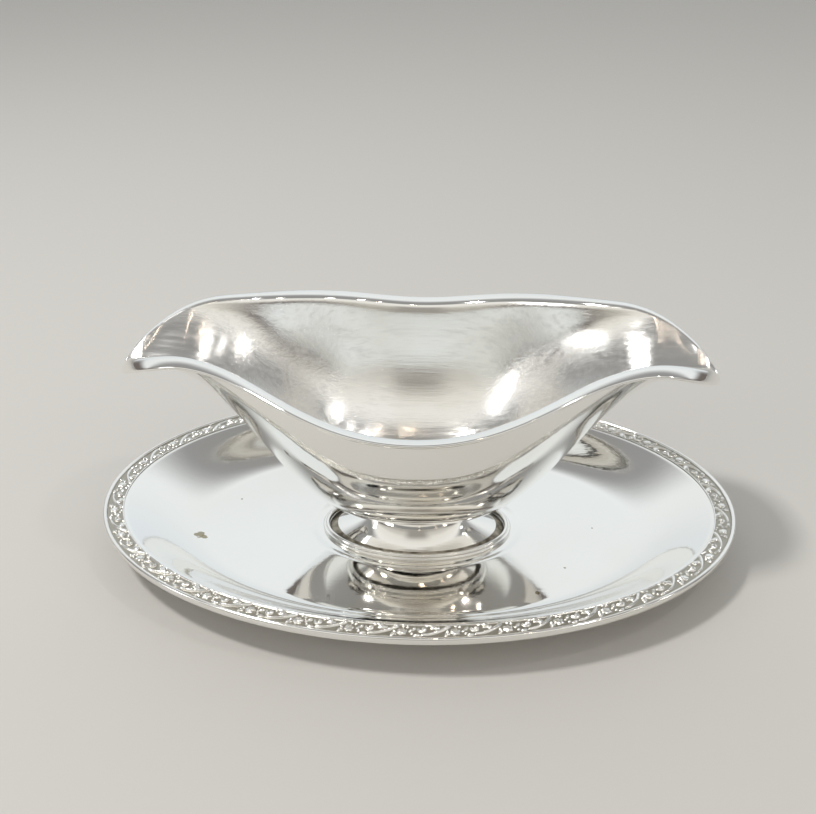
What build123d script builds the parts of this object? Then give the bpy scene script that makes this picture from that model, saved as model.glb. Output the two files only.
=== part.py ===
from build123d import *
import os
from math import sin, cos, pi, radians, sqrt

os.makedirs("parts", exist_ok=True)

# A double-lipped silver-plated gravy boat that stands loose in the oval well of its
# underplate. Millimetres. The origin is the centre of the underplate's standing face,
# X runs from spout to spout, Y across the boat and Z up.

# ---- driving dimensions ----------------------------------------------------------------
PLATE_LENGTH = 240.0          # underplate, over the edge wire
PLATE_WIDTH = 160.0
RIM_HEIGHT = 16.1             # top of the edge wire above the table
SHEET = 1.0                   # gauge of dish, bowl and pedestal
WELL_HALF_LENGTH = 83.0       # flat floor of the dish
WELL_HALF_WIDTH = 51.0
EDGE_WIRE_WIDTH = 1.6         # bright wire round the outer edge, turned down past the sheet
EDGE_WIRE_HEIGHT = 3.0
BORDER_WIDTH = 6.0            # die-struck floral strip
BORDER_THICKNESS = 0.8
BORDER_SINK = 0.3             # top of the strip below the top of the edge wire

BOAT_LENGTH = 212.6           # spout tip to spout tip
MOUTH_WIDTH = 117.0           # over the lips, at the middle
MOUTH_PINCH = 0.25            # how far the flanks draw in towards the spouts
PINCH_BIAS = 1.6              # above 1 the pinch moves out towards the spouts
NOSE_TAPER = 0.3              # the mouth narrows further where it closes in the noses
MOUTH_HEIGHT = 73.5           # rim above the table at the middle
SHOULDER_RISE = 11.0          # the rim rises to a shoulder each side
SHOULDER_AT = 0.70            # of the half length
SPOUT_DROP = 14.2             # and falls to the spout tip
BOWL_BOTTOM = 13.2            # underside of the bowl above the table
KEEL_FLATNESS = 3.45          # how long the keel stays flat in the middle
KEEL_STEEPNESS = 5.3          # how steeply it then climbs to the spouts
LIP_WIDTH = 5.3               # everted lip at the middle
LIP_FADE = 14.0               # the lip narrows where the mouth's half width is below this
LIP_FALL = 0.9                # the lip slopes down inwards
LIP_DROOP = 3.2               # towards the spouts the lip rolls over and down outwards
LIP_START = 0.88              # of the way from keel to rim along the cross-section
WALL_LEAN = 8.6               # degrees that the upper wall leans outwards, at the middle
ARC_END = 0.8                 # of the way from keel to lip is a round arc, the rest straight
CHANNEL_DEPTH = 0.6           # least depth of the channel at the spout's end
SPOUT_FLARE = 1.5             # how soon the round section opens into a V towards the spouts
SPOUT_CURVE = 1.3             # the V's sides: 1 is straight, 2 a parabola

FOOT_HALF_LENGTH = 36.8       # pedestal base, over the base wire
FOOT_HALF_WIDTH = 22.8
NECK_HALF_LENGTH = 19.0       # pedestal where it meets the bowl
NECK_HALF_WIDTH = 13.0
BASE_WIRE_WIDTH = 2.6
BASE_WIRE_HEIGHT = 2.2

SOLDER = 0.05                 # film between the pieces of one body
HALF_LENGTH = BOAT_LENGTH / 2
HALF_WIDTH = MOUTH_WIDTH / 2
FLOOR = SHEET                 # upper face of the dish, where the boat stands


# ---- the bowl's shape, by formula ------------------------------------------------------
def mouth_half_width(t):
    """Half width of the mouth at x = t * HALF_LENGTH: an ellipse with pinched flanks."""
    pinch = 1 - MOUTH_PINCH * sin(pi * abs(t) ** PINCH_BIAS) ** 2
    taper = 1 - NOSE_TAPER * t ** 6
    return HALF_WIDTH * sqrt(1 - t * t) * pinch * taper


def mouth_height(t):
    """Height of the rim: low in the middle, a shoulder each side, drooping spouts."""
    rise = SHOULDER_RISE * sin(pi / 2 * min(abs(t) / SHOULDER_AT, 1)) ** 2
    drop = SPOUT_DROP * (max(abs(t) - SHOULDER_AT, 0) / (1 - SHOULDER_AT)) ** 2
    return MOUTH_HEIGHT + rise - drop


def keel_height(t):
    """Height of the underside on the centre line: flat, then steep, then flat spouts."""
    spout = mouth_height(1) - SHEET
    return BOWL_BOTTOM + (spout - BOWL_BOTTOM) * (1 - (1 - abs(t) ** KEEL_FLATNESS) ** KEEL_STEEPNESS)


LEAN = radians(WALL_LEAN)
THROAT = HALF_WIDTH - LIP_WIDTH
DEPTH = MOUTH_HEIGHT - SHEET - LIP_FALL - BOWL_BOTTOM
ARC_RADIUS = (THROAT * cos(LEAN) - DEPTH * sin(LEAN)) / (1 - sin(LEAN))
ARC_WIDTH = ARC_RADIUS * cos(LEAN) / THROAT
ARC_DEPTH = ARC_RADIUS * (1 - sin(LEAN)) / DEPTH


def wall_shares(climb):
    """Shares of the throat's width and of the depth; climb is 0 on the keel, 1 at the lip."""
    if climb < ARC_END:
        angle = (pi / 2 - LEAN) * climb / ARC_END
        return ARC_RADIUS * sin(angle) / THROAT, ARC_RADIUS * (1 - cos(angle)) / DEPTH
    along = (climb - ARC_END) / (1 - ARC_END)
    return ARC_WIDTH + (1 - ARC_WIDTH) * along, ARC_DEPTH + (1 - ARC_DEPTH) * along


def wall_point(t, reach):
    """(y, z) of the underside at station t; reach is 0 on the keel and 1 at the lip."""
    half_width = mouth_half_width(t)
    fade = min(1, half_width / LIP_FADE)
    throat = half_width - LIP_WIDTH * fade
    rim = mouth_height(t) - SHEET
    keel = min(keel_height(t), rim - CHANNEL_DEPTH)
    fall = LIP_FALL * fade
    droop = LIP_DROOP * t * t * fade
    if reach < LIP_START:
        across, up = wall_shares(reach / LIP_START)
        flare = min(SPOUT_FLARE * t * t, 1)
        up = (1 - flare) * up + flare * across ** SPOUT_CURVE
        return throat * across, keel + (rim - fall + droop - keel) * up
    along = (reach - LIP_START) / (1 - LIP_START)
    y = throat + (half_width - throat) * along
    return y, rim - fall * (1 - along) ** 2 + droop * (1 - along ** 2)


def underside(t, reaches):
    """Points of the underside across the boat at station t, near lip to far lip."""
    half = [wall_point(t, reach) for reach in reaches]
    return [(-y, z) for y, z in reversed(half)] + half[1:]


# ---- boat: bowl ------------------------------------------------------------------------
# The stations crowd towards the spouts, where the mouth closes in a round nose.
REACHES = [0, 0.1, 0.22, 0.36, 0.5, 0.63, 0.75, 0.84, 0.91, 0.955, 1]
STATIONS = [sin(pi / 2 * step / 12) for step in range(-11, 12)]
NOSE = 0.9992
INNER_WIDTH = 1 - SHEET / HALF_WIDTH     # the upper face is drawn in by the sheet's gauge

with BuildPart() as boat_bowl:
    for t in [-NOSE, *STATIONS, NOSE]:
        lower = underside(t, REACHES)
        upper = [(y * INNER_WIDTH, z + SHEET) for y, z in lower]
        with BuildSketch(Plane.YZ.offset(t * HALF_LENGTH)):
            with BuildLine():
                Spline(*lower)
                Line(lower[-1], upper[-1])
                Spline(*reversed(upper))
                Line(upper[0], lower[0])
            make_face()
    loft()
boat_bowl.part.label = "boat_bowl"

# ---- boat: pedestal --------------------------------------------------------------------
# The space the bowl takes up above the pedestal, with the solder film added.
CORE_STATIONS = [step / 10 for step in range(-4, 5)]
CORE_TOP = MOUTH_HEIGHT + SHOULDER_RISE

with BuildPart() as bowl_core:
    for t in CORE_STATIONS:
        lower = [(y, z - SOLDER) for y, z in underside(t, REACHES)]
        with BuildSketch(Plane.YZ.offset(t * HALF_LENGTH)):
            with BuildLine():
                Spline(*lower)
                Polyline(lower[-1], (lower[-1][0], CORE_TOP), (lower[0][0], CORE_TOP), lower[0])
            make_face()
    loft()


def pedestal_oval(height, inset):
    """Half axes of the spool at a height above its base: wide below, drawn in above."""
    span = BOWL_BOTTOM - FLOOR
    flare = (1 - sin(pi / 2 * min(height / span, 1))) ** 1.25
    length = NECK_HALF_LENGTH + (FOOT_HALF_LENGTH - BASE_WIRE_WIDTH - NECK_HALF_LENGTH) * flare
    width = NECK_HALF_WIDTH + (FOOT_HALF_WIDTH - BASE_WIRE_WIDTH - NECK_HALF_WIDTH) * flare
    return length - inset, width - inset


SPOOL_HEIGHTS = [0, 0.6, 1.3, 2.2, 3.4, 5, 7, 9.5, 12.5, 16]

with BuildPart() as boat_foot:
    for height in SPOOL_HEIGHTS:
        with BuildSketch(Plane.XY.offset(FLOOR + height)):
            Ellipse(*pedestal_oval(height, 0))
    loft()
    for height in SPOOL_HEIGHTS:
        with BuildSketch(Plane.XY.offset(FLOOR + height)):
            Ellipse(*pedestal_oval(height, SHEET))
    loft(mode=Mode.SUBTRACT)
    add(bowl_core.part, mode=Mode.SUBTRACT)
boat_foot.part.label = "boat_foot"

with BuildPart() as foot_base_wire:
    with BuildSketch(Plane.XY.offset(FLOOR)):
        Ellipse(FOOT_HALF_LENGTH, FOOT_HALF_WIDTH)
        Ellipse(FOOT_HALF_LENGTH - BASE_WIRE_WIDTH + SOLDER,
                FOOT_HALF_WIDTH - BASE_WIRE_WIDTH + SOLDER, mode=Mode.SUBTRACT)
    extrude(amount=BASE_WIRE_HEIGHT)
    fillet(foot_base_wire.faces().sort_by(Axis.Z)[-1].outer_wire().edges(), 0.7)
foot_base_wire.part.label = "foot_base_wire"

# ---- underplate ------------------------------------------------------------------------
SHOULDER_INSET = EDGE_WIRE_WIDTH + SOLDER
WALL_TOP = RIM_HEIGHT - BORDER_SINK - BORDER_THICKNESS - SOLDER
WALL_STEPS = 10


def dish_oval(share):
    """Half axes and height of the dish wall, from the well (0) to the border (1)."""
    border_inset = EDGE_WIRE_WIDTH + BORDER_WIDTH + 1.0
    length = WELL_HALF_LENGTH + (PLATE_LENGTH / 2 - border_inset - WELL_HALF_LENGTH) * share
    width = WELL_HALF_WIDTH + (PLATE_WIDTH / 2 - border_inset - WELL_HALF_WIDTH) * share
    rise = 0.6 * share ** 2 + 0.4 * share ** 2 * (3 - 2 * share)
    return length, width, rise


with BuildPart() as underplate_dish:
    # wall and floor, outside
    for step in range(WALL_STEPS + 1):
        length, width, rise = dish_oval(step / WALL_STEPS)
        with BuildSketch(Plane.XY.offset(rise * (WALL_TOP - SHEET))):
            Ellipse(length, width)
    loft()
    # flange under the border
    with BuildSketch(Plane.XY.offset(WALL_TOP - SHEET)):
        Ellipse(PLATE_LENGTH / 2 - SHOULDER_INSET, PLATE_WIDTH / 2 - SHOULDER_INSET)
    extrude(amount=SHEET)
    # wall and floor, inside
    for step in range(WALL_STEPS + 1):
        length, width, rise = dish_oval(step / WALL_STEPS)
        with BuildSketch(Plane.XY.offset(FLOOR + rise * (WALL_TOP - SHEET))):
            Ellipse(length, width)
    loft(mode=Mode.SUBTRACT)
underplate_dish.part.label = "underplate_dish"

with BuildPart() as border_band:
    with BuildSketch(Plane.XY.offset(WALL_TOP + SOLDER)):
        Ellipse(PLATE_LENGTH / 2 - SHOULDER_INSET, PLATE_WIDTH / 2 - SHOULDER_INSET)
        Ellipse(PLATE_LENGTH / 2 - SHOULDER_INSET - BORDER_WIDTH,
                PLATE_WIDTH / 2 - SHOULDER_INSET - BORDER_WIDTH, mode=Mode.SUBTRACT)
    extrude(amount=BORDER_THICKNESS)
border_band.part.label = "border_band"

with BuildPart() as edge_wire:
    with BuildSketch(Plane.XY.offset(RIM_HEIGHT - EDGE_WIRE_HEIGHT)):
        Ellipse(PLATE_LENGTH / 2, PLATE_WIDTH / 2)
        Ellipse(PLATE_LENGTH / 2 - EDGE_WIRE_WIDTH, PLATE_WIDTH / 2 - EDGE_WIRE_WIDTH,
                mode=Mode.SUBTRACT)
    extrude(amount=EDGE_WIRE_HEIGHT)
    fillet(edge_wire.faces().sort_by(Axis.Z)[-1].outer_wire().edges(), 0.7)
edge_wire.part.label = "edge_wire"

# ---- files -----------------------------------------------------------------------------
PIECES = [boat_bowl, boat_foot, foot_base_wire, underplate_dish, border_band, edge_wire]
for piece in PIECES:
    export_step(piece.part, f"parts/{piece.part.label}.step")
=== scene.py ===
import math

import bpy
import numpy as np
from mathutils import Matrix, Vector


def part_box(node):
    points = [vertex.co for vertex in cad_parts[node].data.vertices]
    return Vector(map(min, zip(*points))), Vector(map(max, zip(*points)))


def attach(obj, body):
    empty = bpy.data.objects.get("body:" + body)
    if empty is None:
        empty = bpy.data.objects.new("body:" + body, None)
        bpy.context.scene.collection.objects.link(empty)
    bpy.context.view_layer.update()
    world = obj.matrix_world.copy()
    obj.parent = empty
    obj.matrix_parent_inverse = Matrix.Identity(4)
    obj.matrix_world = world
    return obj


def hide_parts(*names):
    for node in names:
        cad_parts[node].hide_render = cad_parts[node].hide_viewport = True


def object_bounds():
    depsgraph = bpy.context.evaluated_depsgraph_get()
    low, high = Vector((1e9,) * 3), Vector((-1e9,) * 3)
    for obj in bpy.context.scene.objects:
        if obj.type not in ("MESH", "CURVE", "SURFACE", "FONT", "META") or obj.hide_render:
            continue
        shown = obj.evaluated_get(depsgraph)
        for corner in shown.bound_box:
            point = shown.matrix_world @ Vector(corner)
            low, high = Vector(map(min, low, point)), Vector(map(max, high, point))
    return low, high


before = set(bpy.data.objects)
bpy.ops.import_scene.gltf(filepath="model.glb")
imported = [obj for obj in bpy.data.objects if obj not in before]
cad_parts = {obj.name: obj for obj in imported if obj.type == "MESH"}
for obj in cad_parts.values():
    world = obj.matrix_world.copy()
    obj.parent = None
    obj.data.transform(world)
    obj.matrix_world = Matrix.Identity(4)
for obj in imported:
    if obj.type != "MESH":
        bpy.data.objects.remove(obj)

# A silver-plated gravy boat, loose on its oval underplate. Shapes are worked out in
# millimetres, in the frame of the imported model, and every mesh is made in metres.
cad_low, cad_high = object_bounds()
MM = 0.001

# ---- driving sizes, the same as the model's (mm) ----------------------------------------
wire_low, wire_high = [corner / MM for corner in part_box("edge_wire")]
PLATE_HALF_LENGTH = wire_high.x
PLATE_HALF_WIDTH = wire_high.y
RIM_HEIGHT = wire_high.z
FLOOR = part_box("foot_base_wire")[0].z / MM
SHEET = 1.0
WELL_HALF_LENGTH = 83.0
WELL_HALF_WIDTH = 51.0
EDGE_WIRE_WIDTH = 1.6
EDGE_WIRE_HEIGHT = RIM_HEIGHT - wire_low.z
BORDER_WIDTH = 6.0
BORDER_THICKNESS = 0.8
BORDER_SINK = 0.3
SOLDER = 0.05
WALL_TOP = RIM_HEIGHT - BORDER_SINK - BORDER_THICKNESS - SOLDER

HALF_LENGTH = 106.3
HALF_WIDTH = 58.5
MOUTH_PINCH = 0.25
PINCH_BIAS = 1.6
NOSE_TAPER = 0.3
MOUTH_HEIGHT = 73.5
SHOULDER_RISE = 11.0
SHOULDER_AT = 0.70
SPOUT_DROP = 14.2
BOWL_BOTTOM = 13.2
KEEL_FLATNESS = 3.45
KEEL_STEEPNESS = 5.3
LIP_WIDTH = 5.3
LIP_FADE = 14.0
LIP_FALL = 0.9
LIP_DROOP = 3.2
CHANNEL_DEPTH = 0.6
LIP_START = 0.88
LEAN = math.radians(8.6)
ARC_END = 0.8
SPOUT_FLARE = 1.5
SPOUT_CURVE = 1.3
RIM_BEAD = 1.3                # the lip's edge is rolled a little thicker than the sheet
VISIBLE_SHEET = 0.9           # the wall, a little thinner than the model's
NOSE_END = 0.9999             # the outermost station, a hair short of the closed spout
NOSE_CLOSING = (0.97, 0.995)  # shares of the half length where the sheet turns to the rim's curve
CLEARANCE = 0.05              # kept free between the rolled edge and the model's outline

FOOT_HALF_LENGTH = 36.8
FOOT_HALF_WIDTH = 22.8
NECK_HALF_LENGTH = 19.0
NECK_HALF_WIDTH = 13.0
BASE_WIRE_WIDTH = 2.6
BASE_WIRE_HEIGHT = 2.2

FLARE_POWER = 1.25            # how sharply the pedestal flares towards its foot
PEDESTAL_SHEET = 0.8
NECK_OVERLAP = 0.25           # the pedestal's top runs this far into the bowl's underside
NECK_FILLET = 0.7             # solder fillet at the neck, and the share of height it starts at
FILLET_START = 0.93
SEAM_SHARE = 0.1              # of the pedestal's height, tarnished along the wire's seam
SEAT_DEPTH = 0.7              # the foot stands in a shallow pressed seat
SEAT_INNER = (38.4, 25.0)     # half axes where the seat's edge starts and ends
SEAT_OUTER = (42.2, 28.6)
FLANGE_MARGIN = 1.0           # flat left between the dish's wall and the struck border
SUPPORT = 1.0                 # rings this far beside a bend keep the flats flat


# ---- mesh helpers -----------------------------------------------------------------------
def make_piece(name, points, faces, body, nodes, materials, face_material=None):
    """A smooth mesh from points in mm, riding on its body in place of its CAD nodes."""
    mesh = bpy.data.meshes.new(name)
    mesh.from_pydata((np.asarray(points) * MM).tolist(), [], faces)
    mesh.polygons.foreach_set("use_smooth", [True] * len(mesh.polygons))
    for material in materials:
        mesh.materials.append(material)
    if face_material is not None:
        mesh.polygons.foreach_set("material_index", face_material)
    mesh.validate()
    mesh.update()
    piece = bpy.data.objects.new(name, mesh)
    bpy.context.scene.collection.objects.link(piece)
    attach(piece, body)
    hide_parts(*nodes)
    return piece


def grid_faces(rows, columns, wrap_rows=False, wrap_columns=False, first=0):
    """Quads over a rows x columns grid of points."""
    faces = []
    for row in range(rows if wrap_rows else rows - 1):
        below = first + row * columns
        above = first + (row + 1) % rows * columns
        for column in range(columns if wrap_columns else columns - 1):
            beside = (column + 1) % columns
            faces.append((below + column, above + column, above + beside, below + beside))
    return faces


def oval_angles(count, half_length, half_width):
    """Angles that divide an ellipse into stretches of equal length."""
    angles = np.linspace(0, 2 * np.pi, 20001)
    speed = np.hypot(half_length * np.sin(angles), half_width * np.cos(angles))
    length = np.concatenate([[0], np.cumsum((speed[1:] + speed[:-1]) / 2 * np.diff(angles))])
    return np.interp(np.arange(count) / count * length[-1], length, angles)


def oval_rings(profile, angles):
    """Rings of points, one column for each (half length, half width, height)."""
    points = np.zeros((len(angles), len(profile), 3))
    for column, (half_length, half_width, height) in enumerate(profile):
        points[:, column, 0] = half_length * np.cos(angles)
        points[:, column, 1] = half_width * np.sin(angles)
        points[:, column, 2] = height
    return points


# ---- the bowl's shape, the same formulas as the model's ---------------------------------
def mouth_half_width(t):
    pinch = 1 - MOUTH_PINCH * np.sin(np.pi * np.abs(t) ** PINCH_BIAS) ** 2
    taper = 1 - NOSE_TAPER * t ** 6
    return HALF_WIDTH * np.sqrt(np.maximum(1 - t * t, 0)) * pinch * taper


def mouth_height(t):
    across = np.abs(t)
    rise = SHOULDER_RISE * np.sin(np.pi / 2 * np.minimum(across / SHOULDER_AT, 1)) ** 2
    drop = SPOUT_DROP * (np.maximum(across - SHOULDER_AT, 0) / (1 - SHOULDER_AT)) ** 2
    return MOUTH_HEIGHT + rise - drop


def keel_height(t):
    spout = mouth_height(1.0) - SHEET
    return BOWL_BOTTOM + (spout - BOWL_BOTTOM) * (1 - (1 - np.abs(t) ** KEEL_FLATNESS) ** KEEL_STEEPNESS)


def bowl_levels(t):
    """Half width at the throat, the keel's and rim's heights, and the lip's fall and droop."""
    half_width = mouth_half_width(t)
    fade = np.minimum(1, half_width / LIP_FADE)
    rim = mouth_height(t) - SHEET
    keel = np.minimum(keel_height(t), rim - CHANNEL_DEPTH)
    return half_width - LIP_WIDTH * fade, keel, rim, LIP_FALL * fade, LIP_DROOP * t * t * fade


THROAT = HALF_WIDTH - LIP_WIDTH
DEPTH = MOUTH_HEIGHT - SHEET - LIP_FALL - BOWL_BOTTOM
ARC_RADIUS = (THROAT * math.cos(LEAN) - DEPTH * math.sin(LEAN)) / (1 - math.sin(LEAN))
ARC_WIDTH = ARC_RADIUS * math.cos(LEAN) / THROAT
ARC_DEPTH = ARC_RADIUS * (1 - math.sin(LEAN)) / DEPTH


def flared(t, across, up):
    """The share of depth, as the round section opens into a V towards the spouts."""
    flare = np.minimum(SPOUT_FLARE * t * t, 1)
    return (1 - flare) * up + flare * across ** SPOUT_CURVE


def wall_point(t, reach):
    """(y, z) of the bowl's underside; reach is 0 on the keel and 1 at the lip."""
    half_width = mouth_half_width(t)
    throat, keel, rim, fall, droop = bowl_levels(t)
    climb = np.minimum(reach / LIP_START, 1)
    angle = (np.pi / 2 - LEAN) * np.minimum(climb / ARC_END, 1)
    beyond = np.maximum(climb - ARC_END, 0) / (1 - ARC_END)
    across = ARC_RADIUS * np.sin(angle) / THROAT + (1 - ARC_WIDTH) * beyond
    up = ARC_RADIUS * (1 - np.cos(angle)) / DEPTH + (1 - ARC_DEPTH) * beyond
    wall_y = throat * across
    wall_z = keel + (rim - fall + droop - keel) * flared(t, across, up)
    along = np.maximum(reach - LIP_START, 0) / (1 - LIP_START)
    lip_y = throat + (half_width - throat) * along
    lip_z = rim - fall * (1 - along) ** 2 + droop * (1 - along ** 2)
    on_wall = reach < LIP_START
    return np.where(on_wall, wall_y, lip_y), np.where(on_wall, wall_z, lip_z)


def underside_height(x, y):
    """Height of the bowl's underside above a point near its middle."""
    t = x / HALF_LENGTH
    throat, keel, rim, fall, droop = bowl_levels(t)
    across = np.abs(y) / throat
    swing = np.arcsin(across * THROAT / ARC_RADIUS)
    up = ARC_RADIUS * (1 - np.cos(swing)) / DEPTH
    return keel + (rim - fall + droop - keel) * flared(t, across, up)


# ---- materials --------------------------------------------------------------------------
class Graph:
    """A small helper that adds and links the nodes of one node tree."""

    def __init__(self, tree):
        self.nodes = tree.nodes
        self.links = tree.links

    def link(self, source, node, socket):
        self.links.new(source, node.inputs[socket])

    def feed(self, value, node, socket):
        """Links a node's output, or sets a plain number or colour on the socket."""
        if isinstance(value, tuple):
            node.inputs[socket].default_value = (*value, 1)
        elif isinstance(value, float):
            node.inputs[socket].default_value = value
        else:
            self.link(value, node, socket)

    def maths(self, operation, first, second=0.0):
        node = self.nodes.new("ShaderNodeMath")
        node.operation = operation
        self.feed(first, node, 0)
        self.feed(second, node, 1)
        return node.outputs[0]

    def span(self, value, low, high, new_low, new_high, eased=False):
        node = self.nodes.new("ShaderNodeMapRange")
        if eased:
            node.interpolation_type = "SMOOTHSTEP"
        for socket, number in enumerate((low, high, new_low, new_high), start=1):
            node.inputs[socket].default_value = number
        self.link(value, node, 0)
        return node.outputs[0]

    def mix(self, share, first, second):
        node = self.nodes.new("ShaderNodeMix")
        node.data_type = "RGBA"
        self.feed(first, node, 6)
        self.feed(second, node, 7)
        self.link(share, node, 0)
        return node.outputs[2]


class Metal(Graph):
    """The nodes of one metallic material, with its textures in the object's own space."""

    def __init__(self, name):
        self.material = bpy.data.materials.new(name)
        self.material.use_nodes = True
        super().__init__(self.material.node_tree)
        self.surface = self.nodes["Principled BSDF"]
        self.surface.inputs["Metallic"].default_value = 1.0
        self.place = self.nodes.new("ShaderNodeTexCoord").outputs["Object"]

    def colour(self, value):
        self.link(value, self.surface, "Base Color")

    def roughness(self, value):
        self.link(value, self.surface, "Roughness")

    def normal(self, value):
        self.link(value, self.surface, "Normal")

    def noise(self, scale, detail=3.0, stretch=(1, 1, 1), roughness=0.5):
        mapping = self.nodes.new("ShaderNodeMapping")
        mapping.inputs["Scale"].default_value = stretch
        self.link(self.place, mapping, "Vector")
        noise = self.nodes.new("ShaderNodeTexNoise")
        noise.inputs["Scale"].default_value = scale
        noise.inputs["Detail"].default_value = detail
        noise.inputs["Roughness"].default_value = roughness
        self.link(mapping.outputs["Vector"], noise, "Vector")
        return noise.outputs["Fac"]

    def spot(self, place, radius, ragged):
        """Above 0 inside a stain with a ragged edge, 0 outside; place and radius in mm."""
        offset = self.nodes.new("ShaderNodeVectorMath")
        offset.operation = "DISTANCE"
        offset.inputs[1].default_value = (place[0] * MM, place[1] * MM, (FLOOR + SEAT_DEPTH) * MM)
        self.link(self.place, offset, 0)
        size = self.span(ragged, 0.3, 0.7, 0.5 * radius * MM, 1.5 * radius * MM)
        inside = self.maths("SUBTRACT", size, offset.outputs["Value"])
        return self.span(inside, 0, 0.25 * radius * MM, 0, 0.85)

    def bump(self, height, strength, distance, under=None):
        node = self.nodes.new("ShaderNodeBump")
        node.inputs["Strength"].default_value = strength
        node.inputs["Distance"].default_value = distance
        self.link(height, node, "Height")
        if under is not None:
            self.link(under, node, "Normal")
        return node.outputs["Normal"]


# base colours of the plate, from freshly rubbed to worn
BRIGHT = (0.945, 0.94, 0.92)
WARM = (0.92, 0.905, 0.87)
SCRATCH_DEPTH = 0.0002        # m, for the finest scratches


def polished_silver(name, smeared=(0.035, 0.10), scratch=0.05):
    """Hand-polished plate: a warm mirror with faint smears and hairline scratches."""
    metal = Metal(name)
    smear = metal.noise(55, 4, (1, 1, 1.6))
    warm = metal.noise(18, 2)
    metal.colour(metal.mix(metal.span(warm, 0.35, 0.65, 0, 1), BRIGHT, WARM))
    metal.roughness(metal.span(smear, 0.42, 0.72, *smeared))
    hair = metal.noise(900, 2, (0.05, 1, 1))
    metal.normal(metal.bump(hair, scratch, SCRATCH_DEPTH))
    return metal.material


def brushed_silver(name):
    """The bowl's inside: worn satin, rubbed along the bowl, warmer than the outside."""
    metal = Metal(name)
    patches = metal.noise(26, 4)
    rub = metal.noise(520, 4, (0.03, 1, 1), 0.65)
    fine = metal.noise(1900, 3, (0.035, 1, 1), 0.6)
    swirl = metal.noise(300, 3, (1, 0.12, 0.5), 0.7)
    worn = metal.mix(metal.span(patches, 0.4, 0.68, 0, 1), (0.95, 0.94, 0.92), (0.88, 0.86, 0.81))
    metal.colour(metal.mix(metal.span(rub, 0.5, 0.75, 0, 0.5), worn, (0.74, 0.73, 0.71)))
    metal.roughness(metal.span(rub, 0.32, 0.68, 0.09, 0.25))
    scratches = metal.bump(rub, 0.16, 0.0003)
    scratches = metal.bump(fine, 0.16, SCRATCH_DEPTH, scratches)
    metal.normal(metal.bump(swirl, 0.05, SCRATCH_DEPTH, scratches))
    metal.surface.inputs["Anisotropic"].default_value = 0.35
    return metal.material


def worn_dish(name):
    """The dish: a mirror like the outside, with tarnish spots and rubbed marks."""
    metal = Metal(name)
    smear = metal.noise(38, 4)
    warm = metal.noise(14, 2)
    plate = metal.mix(metal.span(warm, 0.35, 0.65, 0, 1), (0.945, 0.945, 0.93), (0.925, 0.91, 0.88))
    ragged = metal.noise(420, 4)
    for place, radius in STAINS:
        plate = metal.mix(metal.spot(place, radius, ragged), plate, (0.30, 0.26, 0.16))
    film = metal.noise(9, 3, (1, 1, 1), 0.6)
    metal.colour(metal.mix(metal.span(film, 0.56, 0.72, 0, 0.14), plate, (0.72, 0.66, 0.52)))
    metal.roughness(metal.span(smear, 0.42, 0.72, 0.045, 0.12))
    hair = metal.noise(700, 3, (0.06, 1, 1))
    rubbed = metal.noise(620, 3, (1, 0.07, 1))
    metal.normal(metal.bump(rubbed, 0.035, SCRATCH_DEPTH, metal.bump(hair, 0.05, SCRATCH_DEPTH)))
    return metal.material


def tarnished_silver(name):
    """Dark tarnish that polishing doesn't reach, along a soldered seam."""
    metal = Metal(name)
    grime = metal.noise(300, 3)
    metal.colour(metal.mix(metal.span(grime, 0.4, 0.65, 0, 1), (0.16, 0.14, 0.11), (0.45, 0.41, 0.34)))
    metal.surface.inputs["Roughness"].default_value = 0.38
    metal.normal(metal.bump(metal.noise(1500, 2), 0.2, SCRATCH_DEPTH))
    return metal.material


def oxidised_silver(name):
    """Struck relief: bright where it stands proud; the ground is darker, partly tarnish and partly
    painted shade in the recesses.
    """
    metal = Metal(name)
    relief = metal.nodes.new("ShaderNodeAttribute")
    relief.attribute_name = "relief"
    grime = metal.noise(260, 3)
    height = relief.outputs["Fac"]
    # painted shade: the lower the relief, the darker its colour, standing in for shade in the ground's
    # recesses
    shade = metal.mix(metal.span(height, 0.03, 0.34, 0, 1), (0.44, 0.42, 0.37), (0.95, 0.945, 0.92))
    # random tarnish specks over the relief
    metal.colour(metal.mix(metal.span(grime, 0.45, 0.75, 0, 0.30), shade, (0.50, 0.46, 0.38)))
    metal.roughness(metal.span(height, 0.05, 0.5, 0.36, 0.12))
    metal.normal(metal.bump(metal.noise(2600, 2), 0.25, SCRATCH_DEPTH))
    return metal.material


# tarnish spots on the dish: place from the centre and size, in mm
STAINS = [((-83.8, -10.6), 1.9), ((-81.4, -11.6), 1.2), ((92.8, 1.8), 0.6), ((44.1, -39.4), 0.8),
          ((68.5, 0.1), 0.5), ((-72.0, 14.0), 0.5), ((55.4, -25.0), 0.5)]

MIRROR = polished_silver("polished_silver")
WIRE = polished_silver("polished_wire", (0.08, 0.2), 0.08)
SATIN = brushed_silver("brushed_silver")
DISH = worn_dish("worn_silver")
TARNISHED = tarnished_silver("tarnished_silver")
# the border's material: tarnish, and painted shade in the relief's ground
OXIDE_AND_PAINTED_SHADE = oxidised_silver("oxidised_silver")


# ---- boat: bowl -------------------------------------------------------------------------
def surface_normals(points):
    """Unit normals of a grid of points, pointing up and into the bowl."""
    along = np.gradient(points, axis=0)
    across = np.gradient(points, axis=1)
    normals = np.cross(along, across)
    return normals / np.linalg.norm(normals, axis=2, keepdims=True)


def nose_normals(stations):
    """Normals of the rim's own curve, which the sheet follows where the spouts close."""
    step = 1e-4
    inside = np.clip(stations, -1 + step, 1 - step)
    slope = (mouth_height(inside + step) - mouth_height(inside - step)) / (2 * step * HALF_LENGTH)
    normals = np.stack([-slope, np.zeros_like(slope), np.ones_like(slope)], axis=1)
    return normals / np.linalg.norm(normals, axis=1, keepdims=True)


def soften(values, columns):
    """Averages the given columns with their neighbours."""
    values[:, columns] = (values[:, columns - 1] + 2 * values[:, columns] + values[:, columns + 1]) / 4


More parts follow.
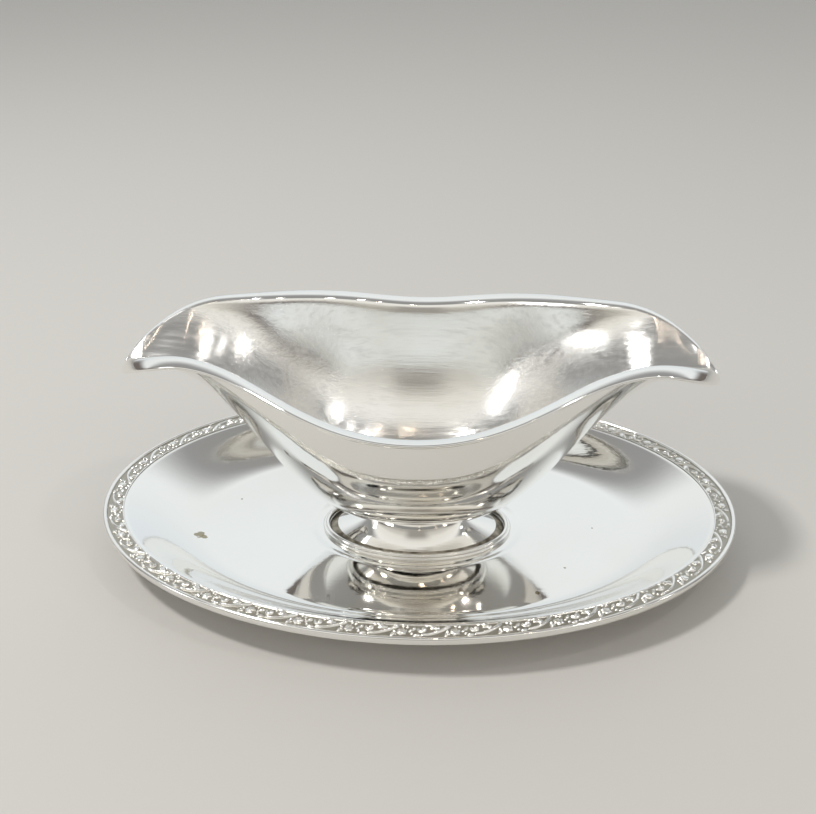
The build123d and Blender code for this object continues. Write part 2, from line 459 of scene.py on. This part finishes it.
def bowl_underside():
    """The bowl's underside as a grid of points, and each column's reach from keel to lip."""
    stations = np.sin(np.linspace(-1, 1, 221) * np.pi / 2) * NOSE_END
    wall = np.linspace(0, LIP_START, 47)[:-1]
    lip = np.linspace(LIP_START, 1, 12)
    reaches = np.concatenate([wall, lip])
    t, reach = np.meshgrid(stations, reaches, indexing="ij")
    y, z = wall_point(t, reach)
    crease = np.flatnonzero(np.abs(reaches - LIP_START) < 0.035)
    for _ in range(6):                       # soften the crease where wall meets lip
        soften(y, crease)
        soften(z, crease)
    inset = RIM_BEAD / 2 + CLEARANCE
    x = t * (HALF_LENGTH - inset)
    y = y * (HALF_WIDTH - inset) / HALF_WIDTH
    half = len(reaches)
    sheet = np.zeros((len(stations), 2 * half - 1, 3))
    sheet[:, half - 1:] = np.stack([x, y, z], axis=2)
    sheet[:, :half] = np.stack([x, -y, z], axis=2)[:, ::-1]
    return stations, sheet, np.concatenate([reaches[::-1], reaches[1:]])


def border_loop(rows, columns):
    """Row and column of each point round the edge of a grid."""
    last = columns - 1
    loop = [(row, last) for row in range(rows)]
    loop += [(rows - 1, column) for column in range(last - 1, 0, -1)]
    loop += [(row, 0) for row in range(rows - 1, -1, -1)]
    loop += [(0, column) for column in range(1, last)]
    return np.array(loop).T


def rolled_edge(lower, upper, turns=6):
    """Points and faces of a half round that joins two grids of points along their edge."""
    rows, columns = lower.shape[:2]
    row_of, column_of = border_loop(rows, columns)
    low, high = lower[row_of, column_of], upper[row_of, column_of]
    tangent = np.roll(low, -1, axis=0) - np.roll(low, 1, axis=0)
    outward = np.cross(tangent, high - low)
    outward /= np.linalg.norm(outward, axis=1, keepdims=True)
    if np.sum(outward * (low - low.mean(axis=0))) < 0:
        outward = -outward
    middle = (low + high) / 2
    radius = np.linalg.norm(high - low, axis=1, keepdims=True) / 2
    around = len(row_of)
    first = rows * columns * 2
    points = []
    rings = [row_of * columns + column_of]
    for turn in range(1, turns):
        swing = np.pi * turn / turns
        points.append(middle + (low - middle) * np.cos(swing) + outward * radius * np.sin(swing))
        rings.append(np.arange(first, first + around))
        first += around
    rings.append(row_of * columns + column_of + rows * columns)
    faces = []
    for ring, following in zip(rings, rings[1:]):
        for place in range(around):
            beyond = (place + 1) % around
            faces.append((ring[place], following[place], following[beyond], ring[beyond]))
    return points, faces


def bowl():
    stations, sheet, reaches = bowl_underside()
    start, end = NOSE_CLOSING
    closing = np.clip((np.abs(stations) - start) / (end - start), 0, 1)[:, None, None]
    normals = surface_normals(sheet) * (1 - closing) + nose_normals(stations)[:, None] * closing
    normals /= np.linalg.norm(normals, axis=2, keepdims=True)
    swelling = np.clip((reaches - 0.95) / 0.05, 0, 1)
    thickness = VISIBLE_SHEET + (RIM_BEAD - VISIBLE_SHEET) * swelling
    upper = sheet + normals * SHEET
    upper[:, :, 2] = np.minimum(upper[:, :, 2], cad_high.z / MM)
    lower = upper - normals * thickness[None, :, None]

    rows, columns = sheet.shape[:2]
    outside = [face[::-1] for face in grid_faces(rows, columns)]
    inside = grid_faces(rows, columns, first=rows * columns)
    edge_points, edge = rolled_edge(lower, upper)
    on_lip = reaches[:-1] + reaches[1:] > 2 * LIP_START
    satin = np.tile(np.where(on_lip, 0, 1), rows - 1).tolist()
    tags = [0] * len(outside) + satin + [0] * len(edge)
    points = np.concatenate([lower.reshape(-1, 3), upper.reshape(-1, 3), *edge_points])
    return make_piece("bowl_shell", points, outside + inside + edge, "boat", ["boat_bowl"],
                      [MIRROR, SATIN], tags)


# ---- boat: pedestal and its base wire ---------------------------------------------------
def pedestal():
    angles = oval_angles(288, FOOT_HALF_LENGTH, FOOT_HALF_WIDTH)
    span = BOWL_BOTTOM - FLOOR
    neck_x = NECK_HALF_LENGTH * np.cos(angles)
    neck_y = NECK_HALF_WIDTH * np.sin(angles)
    top = underside_height(neck_x, neck_y) - FLOOR + NECK_OVERLAP
    columns = []
    shares = np.linspace(0, 1, 40)
    for side, inset in ((shares, 0.0), (shares[::-1], PEDESTAL_SHEET)):
        for share in side:
            height = share * top
            flare = (1 - np.sin(np.pi / 2 * np.minimum(height / span, 1))) ** FLARE_POWER
            fillet = NECK_FILLET * np.clip((share - FILLET_START) / (1 - FILLET_START), 0, 1) ** 2
            spread = fillet - inset
            length = NECK_HALF_LENGTH + flare * (
                FOOT_HALF_LENGTH - BASE_WIRE_WIDTH - NECK_HALF_LENGTH) + spread
            width = NECK_HALF_WIDTH + flare * (
                FOOT_HALF_WIDTH - BASE_WIRE_WIDTH - NECK_HALF_WIDTH) + spread
            columns.append(np.stack([length * np.cos(angles), width * np.sin(angles),
                                     FLOOR + height], axis=1))
    points = np.stack(columns, axis=1)
    faces = grid_faces(len(angles), points.shape[1], wrap_rows=True, wrap_columns=True)
    seam = np.arange(points.shape[1]) < len(shares) * SEAM_SHARE
    tags = np.tile(np.where(seam, 1, 0), len(angles)).tolist()
    return make_piece("pedestal_spool", points.reshape(-1, 3), faces, "boat", ["boat_foot"],
                      [MIRROR, TARNISHED], tags)


def lathe_oval(name, half_length, half_width, profile, count, body, node, material):
    """A closed oval ring; the profile is (inset, height) pairs round the section."""
    angles = oval_angles(count, half_length, half_width)
    ovals = [(half_length - inset, half_width - inset, height) for inset, height in profile]
    points = oval_rings(ovals, angles)
    faces = grid_faces(len(angles), len(profile), wrap_rows=True, wrap_columns=True)
    return make_piece(name, points.reshape(-1, 3), faces, body, [node], [material])


def arc(centre_inset, centre_height, radius, start, end, steps):
    """Points of a round moulding, as (inset, height); 0 degrees points outwards."""
    turns = np.radians(np.linspace(start, end, steps))
    return [(centre_inset - radius * math.cos(turn), centre_height + radius * math.sin(turn))
            for turn in turns]


def base_wire():
    """Two rounded mouldings with a groove between them, a wide one below."""
    lower_radius, lower_centre = 0.68, 0.75
    upper_radius, upper_inset = 0.7, 1.82
    inner = BASE_WIRE_WIDTH - SOLDER
    profile = [(inner, FLOOR), (0.5, FLOOR), (0.15, FLOOR + 0.1)]
    profile += arc(lower_radius, FLOOR + lower_centre, lower_radius, -40, 110, 11)
    profile += [(1.12, FLOOR + 1.15)]        # the groove between the mouldings
    profile += arc(upper_inset, FLOOR + BASE_WIRE_HEIGHT - upper_radius, upper_radius, 10, 170, 12)
    profile += [(inner, FLOOR + 1.0)]
    return lathe_oval("base_wire_ring", FOOT_HALF_LENGTH, FOOT_HALF_WIDTH, profile, 320,
                      "boat", "foot_base_wire", WIRE)


# ---- underplate -------------------------------------------------------------------------
def dish_oval(share):
    """Half axes and rise of the dish wall, from the well (0) to the border (1)."""
    inset = EDGE_WIRE_WIDTH + BORDER_WIDTH + FLANGE_MARGIN
    length = WELL_HALF_LENGTH + (PLATE_HALF_LENGTH - inset - WELL_HALF_LENGTH) * share
    width = WELL_HALF_WIDTH + (PLATE_HALF_WIDTH - inset - WELL_HALF_WIDTH) * share
    return length, width, 0.6 * share ** 2 + 0.4 * share ** 2 * (3 - 2 * share)


def dish():
    shoulder = EDGE_WIRE_WIDTH + SOLDER
    upper = [(SEAT_INNER[0] * part, SEAT_INNER[1] * part, FLOOR) for part in (0.1, 0.4, 0.7, 0.95)]
    for share in np.linspace(0, 1, 9):
        length = SEAT_INNER[0] + (SEAT_OUTER[0] - SEAT_INNER[0]) * share
        width = SEAT_INNER[1] + (SEAT_OUTER[1] - SEAT_INNER[1]) * share
        upper.append((length, width, FLOOR + SEAT_DEPTH * share ** 2 * (3 - 2 * share)))
    well_floor = FLOOR + SEAT_DEPTH
    upper.append((SEAT_OUTER[0] + SUPPORT, SEAT_OUTER[1] + SUPPORT, well_floor))
    upper.append((WELL_HALF_LENGTH - SUPPORT, WELL_HALF_WIDTH - SUPPORT, well_floor))
    lower = [(length, width, 0.0) for length, width, _ in upper]
    for share in np.linspace(0, 1, 49):
        length, width, lift = dish_oval(share)
        upper.append((length, width, well_floor + lift * (WALL_TOP - well_floor)))
        lower.append((length, width, lift * (WALL_TOP - SHEET)))
    for inset in (shoulder + BORDER_WIDTH / 2, shoulder):
        flange = (PLATE_HALF_LENGTH - inset, PLATE_HALF_WIDTH - inset)
        upper.append((*flange, WALL_TOP))
        lower.append((*flange, WALL_TOP - SHEET))
    angles = oval_angles(480, PLATE_HALF_LENGTH, PLATE_HALF_WIDTH)
    points = oval_rings(upper + lower[::-1], angles)
    rows, columns = points.shape[:2]
    faces = [face[::-1] for face in grid_faces(rows, columns, wrap_rows=True)]
    flat = points.reshape(-1, 3)
    centre = len(flat)
    flat = np.concatenate([flat, [[0, 0, FLOOR], [0, 0, 0]]])
    for row in range(rows):
        beyond = (row + 1) % rows
        faces.append((centre, row * columns, beyond * columns))
        faces.append((centre + 1, (beyond + 1) * columns - 1, (row + 1) * columns - 1))
    return make_piece("dish_plate", flat, faces, "underplate", ["underplate_dish"],
                      [DISH])


def edge_bead():
    top = RIM_HEIGHT
    bottom = RIM_HEIGHT - EDGE_WIRE_HEIGHT
    radius = EDGE_WIRE_WIDTH / 2
    profile = [(1.3, bottom), (0.55, bottom), (0.3, bottom + 0.35), (0.12, bottom + 1.2)]
    profile += arc(radius, top - radius, radius, 0, 180, 13)
    profile += [(EDGE_WIRE_WIDTH, WALL_TOP), (1.45, bottom + 0.3)]
    return lathe_oval("edge_bead", PLATE_HALF_LENGTH, PLATE_HALF_WIDTH, profile, 480,
                      "underplate", "edge_wire", WIRE)


# ---- underplate: the struck border ------------------------------------------------------
REPEATS = 36
RELIEF = 0.72                 # mm from the ground of the strip to its highest leaf
GROUND = 0.18                 # thickness of the strip's ground at its inner edge
GROUND_RISE = 0.12            # and how much it gains towards the outer edge
INNER_BEAD = (0.28, 0.2, 0.62)   # the fine bead's place, half width and share of the relief
BERRIES = [(5.2, 5.2), (4.6, 3.4), (15.8, 4.4), (16.4, 3.2), (0.4, 1.3), (1.6, 0.9), (10.9, 0.75)]


def ridge(x, y, spine, width):
    """A rounded ridge along a polyline; width may taper from one end to the other."""
    best = np.zeros_like(x)
    wide = np.linspace(width[0], width[1], len(spine))
    for index in range(len(spine) - 1):
        (ax, ay), (bx, by) = spine[index], spine[index + 1]
        span = (bx - ax) ** 2 + (by - ay) ** 2
        share = np.clip(((x - ax) * (bx - ax) + (y - ay) * (by - ay)) / span, 0, 1)
        distance = np.hypot(x - ax - share * (bx - ax), y - ay - share * (by - ay))
        local = wide[index] + (wide[index + 1] - wide[index]) * share
        best = np.maximum(best, np.sqrt(np.maximum(1 - (distance / local) ** 2, 0)))
    return best


def leaf(x, y, root, heading, length, width):
    """A pointed oval leaf with a sunk midrib."""
    turn = math.radians(heading)
    along = ((x - root[0]) * math.cos(turn) + (y - root[1]) * math.sin(turn)) / length
    across = (-(x - root[0]) * math.sin(turn) + (y - root[1]) * math.cos(turn)) / width
    inside = np.clip(along, 0, 1)
    edge = np.sin(np.pi * inside ** 0.8) * (along > 0) * (along < 1)
    body = np.maximum(1 - (across / np.maximum(edge, 1e-3)) ** 2, 0) * (edge > 0)
    groove = 0.3 * np.exp(-(across / 0.14) ** 2)
    return np.sqrt(body) * (1 - groove) * (0.55 + 0.45 * edge)


def border_relief(x, y, pitch):
    """Height, 0 to 1, of one repeat: x runs 0 to pitch, y from 0 (inner) to 6 (outer)."""
    height = np.zeros_like(x)

    def lay(level, shape):
        np.maximum(height, level * shape, out=height)

    for shift in (-pitch, 0, pitch):
        u = x - shift
        # the long curling stem, from the inner edge up and along the outer edge
        stem = [(4.0 + 8.6 * share, 1.0 + 3.9 * math.sin(math.pi / 2 * share) ** 0.9)
                for share in np.linspace(0, 1, 9)]
        lay(1.0, ridge(u, y, stem, (0.62, 0.30)))
        # the rosette near the outer edge
        for petal in range(6):
            lay(0.95, leaf(u, y, (2.2, 3.5), 60 * petal + 15, 1.75, 0.62))
        lay(1.0, ridge(u, y, [(2.15, 3.5), (2.25, 3.5)], (0.55, 0.55)))
        # three leaves that fan out under the stem
        lay(0.9, leaf(u, y, (7.2, 1.2), 62, 2.3, 0.72))
        lay(0.9, leaf(u, y, (7.6, 1.1), 22, 2.7, 0.75))
        lay(0.85, leaf(u, y, (8.0, 0.7), -4, 2.4, 0.55))
        # the scroll that curls back behind the leaves
        scroll = []
        for turn in np.linspace(0, 4.6, 12):
            radius = 1.35 * (1 - 0.13 * turn)
            scroll.append((12.4 + radius * math.cos(turn), 2.3 + radius * math.sin(turn)))
        lay(0.9, ridge(u, y, scroll, (0.42, 0.28)))
        lay(0.95, ridge(u, y, [(12.35, 2.25), (12.45, 2.25)], (0.42, 0.42)))
        # small outer leaves and berries that fill the gaps
        lay(0.8, leaf(u, y, (5.6, 4.2), 160, 1.9, 0.5))
        lay(0.8, leaf(u, y, (13.2, 4.9), 8, 2.4, 0.55))
        lay(0.85, leaf(u, y, (14.6, 1.6), 40, 2.3, 0.6))
        for berry_x, berry_y in BERRIES:
            lay(0.8, ridge(u, y, [(berry_x, berry_y), (berry_x + 0.05, berry_y)], (0.42, 0.42)))
    return height


def border():
    shoulder = EDGE_WIRE_WIDTH + SOLDER
    outer_length = PLATE_HALF_LENGTH - shoulder
    outer_width = PLATE_HALF_WIDTH - shoulder
    middle_length = outer_length - BORDER_WIDTH / 2
    middle_width = outer_width - BORDER_WIDTH / 2
    per_repeat, across = 66, 31
    count = REPEATS * per_repeat
    angles = oval_angles(count, middle_length, middle_width)
    steps_x = np.diff(middle_length * np.cos(angles), append=middle_length)
    steps_y = np.diff(middle_width * np.sin(angles), append=0)
    pitch = np.sum(np.hypot(steps_x, steps_y)) / REPEATS
    along = np.arange(per_repeat) / per_repeat * pitch
    place = np.linspace(0, BORDER_WIDTH, across)
    x, y = np.meshgrid(along, place, indexing="ij")
    bead_place, bead_width, bead_height = INNER_BEAD
    bead = np.exp(-((y - bead_place) / bead_width) ** 2) * bead_height
    fade = np.clip((y - 0.45) / 0.3, 0, 1) * np.clip((5.85 - y) / 0.35, 0, 1)
    height = np.maximum(border_relief(pitch - x, y, pitch) * fade, bead)
    height = np.tile(height, (REPEATS, 1))
    inset = BORDER_WIDTH - place
    length = outer_length - inset
    width = outer_width - inset
    back = WALL_TOP + SOLDER
    rise = GROUND_RISE * place / BORDER_WIDTH
    points = np.zeros((count, across + 2, 3))
    points[:, :across, 0] = np.cos(angles)[:, None] * length[None, :]
    points[:, :across, 1] = np.sin(angles)[:, None] * width[None, :]
    points[:, :across, 2] = back + GROUND + RELIEF * height + rise[None, :]
    for column, above in ((across, across - 1), (across + 1, 0)):
        points[:, column] = points[:, above]
        points[:, column, 2] = back
    faces = grid_faces(count, across + 2, wrap_rows=True, wrap_columns=True)
    piece = make_piece("border_relief", points.reshape(-1, 3), [face[::-1] for face in faces],
                       "underplate", ["border_band"], [OXIDE_AND_PAINTED_SHADE])
    # the relief's height, which the border's material also uses to paint shade into the ground
    shade = np.zeros((count, across + 2))
    shade[:, :across] = height
    attribute = piece.data.attributes.new("relief", "FLOAT", "POINT")
    attribute.data.foreach_set("value", shade.ravel().astype(np.float32))
    return piece


bowl()
pedestal()
base_wire()
dish()
edge_bead()
border()


# ---- camera -----------------------------------------------------------------------------
def camera():
    """Looks down at the boat from in front, a little to one side."""
    distance, elevation, pitch, turn = 368.0, 34.52, 29.32, 0.41
    orbit = math.radians(2.0)
    aside = -1.3
    e, p, yaw = math.radians(elevation), math.radians(pitch), math.radians(turn)
    place = Vector((aside, -distance * math.cos(e), distance * math.sin(e) + RIM_HEIGHT)) * MM
    right = Vector((math.cos(yaw), math.sin(yaw), 0))
    level = Vector((-math.sin(yaw), math.cos(yaw), 0))
    ahead = level * math.cos(p) - Vector((0, 0, 1)) * math.sin(p)
    matrix = Matrix((right, right.cross(ahead), -ahead)).transposed().to_4x4()
    matrix.translation = place
    lens = bpy.data.cameras.new("camera")
    lens.sensor_width = 36
    lens.lens = 41.912
    lens.clip_start = 0.01
    seat = bpy.data.objects.new("camera", lens)
    seat.matrix_world = Matrix.Rotation(orbit, 4, "Z") @ matrix
    bpy.context.scene.collection.objects.link(seat)
    bpy.context.scene.camera = seat


camera()


# ---- floor and light --------------------------------------------------------------------
def matte(name, colour):
    material = bpy.data.materials.new(name)
    material.use_nodes = True
    surface = material.node_tree.nodes["Principled BSDF"]
    surface.inputs["Base Color"].default_value = (*colour, 1)
    surface.inputs["Roughness"].default_value = 0.75
    return material


def floor():
    mesh = bpy.data.meshes.new("floor")
    reach = 12
    level = -0.0001
    corners = [(x * reach, y * reach, level) for x, y in ((-1, -1), (1, -1), (1, 1), (-1, 1))]
    mesh.from_pydata(corners, [], [(0, 1, 2, 3)])
    mesh.materials.append(matte("pale_floor", (0.58, 0.565, 0.54)))
    plane = bpy.data.objects.new("floor", mesh)
    bpy.context.scene.collection.objects.link(plane)


def soft_light(name, place, size, power, colour, tall=None):
    lamp = bpy.data.lights.new(name, "AREA")
    lamp.size = size
    if tall:
        lamp.shape = "RECTANGLE"
        lamp.size_y = tall
    lamp.energy = power
    lamp.color = colour
    holder = bpy.data.objects.new(name, lamp)
    holder.location = place
    towards = Vector((0, 0, 0.05)) - Vector(place)
    holder.rotation_euler = towards.to_track_quat("-Z", "Y").to_euler()
    bpy.context.scene.collection.objects.link(holder)


# degrees from straight ahead over the top to behind, and the light there
ARCH = [(0, (0.80, 0.85, 0.88)), (45, (0.90, 0.935, 0.94)), (76, (0.33, 0.33, 0.33)),
        (107, (0.30, 0.30, 0.29)), (121, (0.93, 0.92, 0.88)), (140, (0.87, 0.85, 0.80)),
        (156, (0.66, 0.64, 0.59)), (172, (0.45, 0.43, 0.39))]
LOW_SIDES = (0.17, 0.15, 0.14)
LOW_BEHIND = (0.36, 0.34, 0.31)
SKY_STRENGTH = 0.95


def sky():
    """An arch of soft light from ahead over to behind, darker low down beside and behind."""
    world = bpy.data.worlds.new("studio")
    bpy.context.scene.world = world
    world.use_nodes = True
    graph = Graph(world.node_tree)
    direction = graph.nodes.new("ShaderNodeTexCoord").outputs["Generated"]
    split = graph.nodes.new("ShaderNodeSeparateXYZ")
    graph.link(direction, split, 0)
    swing = graph.maths("ARCTAN2", split.outputs["Z"], split.outputs["Y"])
    share = graph.maths("DIVIDE", swing, math.pi)
    ramp = graph.nodes.new("ShaderNodeValToRGB")
    ramp.color_ramp.interpolation = "EASE"
    stops = ramp.color_ramp.elements
    for stop, (degrees, colour) in zip([stops[0], stops[1]], ARCH[:2]):
        stop.position = degrees / 180
        stop.color = (*colour, 1)
    for degrees, colour in ARCH[2:]:
        stops.new(degrees / 180).color = (*colour, 1)
    graph.link(share, ramp, 0)

    aside = graph.maths("ABSOLUTE", split.outputs["X"])
    beside = graph.span(aside, 0.55, 0.8, 0, 1, eased=True)
    low = graph.span(split.outputs["Z"], 0.1, 0.3, 1, 0, eased=True)
    central = graph.span(aside, 0.1, 0.3, 1, 0, eased=True)
    behind = graph.span(share, 0.74, 0.86, 0, 1, eased=True)
    light = graph.mix(graph.maths("MULTIPLY", beside, low), ramp.outputs[0], LOW_SIDES)
    light = graph.mix(graph.maths("MULTIPLY", central, behind), light, LOW_BEHIND)
    background = graph.nodes["Background"]
    graph.link(light, background, "Color")
    background.inputs["Strength"].default_value = SKY_STRENGTH


floor()
soft_light("key", (-0.68, -0.15, 1.36), 0.18, 11, (1, 0.985, 0.96))
soft_light("fill", (0.72, -0.21, 1.33), 0.08, 1.4, (1, 0.97, 0.93))
soft_light("left_window", (-1.30, -0.50, 0.58), 0.15, 1.0, (0.97, 0.99, 1), tall=0.6)
soft_light("right_high", (1.22, -0.26, 0.79), 0.08, 0.4, (1, 0.98, 0.95))
soft_light("right_small", (1.01, -0.23, 1.08), 0.05, 0.2, (1, 0.98, 0.95))
soft_light("spot_near", (0.50, -0.41, 1.36), 0.035, 0.14, (1, 0.82, 0.66))
soft_light("spot_middle", (0.07, -0.47, 1.44), 0.035, 0.14, (1, 0.82, 0.66))
sky()
bpy.context.scene.view_settings.view_transform = "Standard"
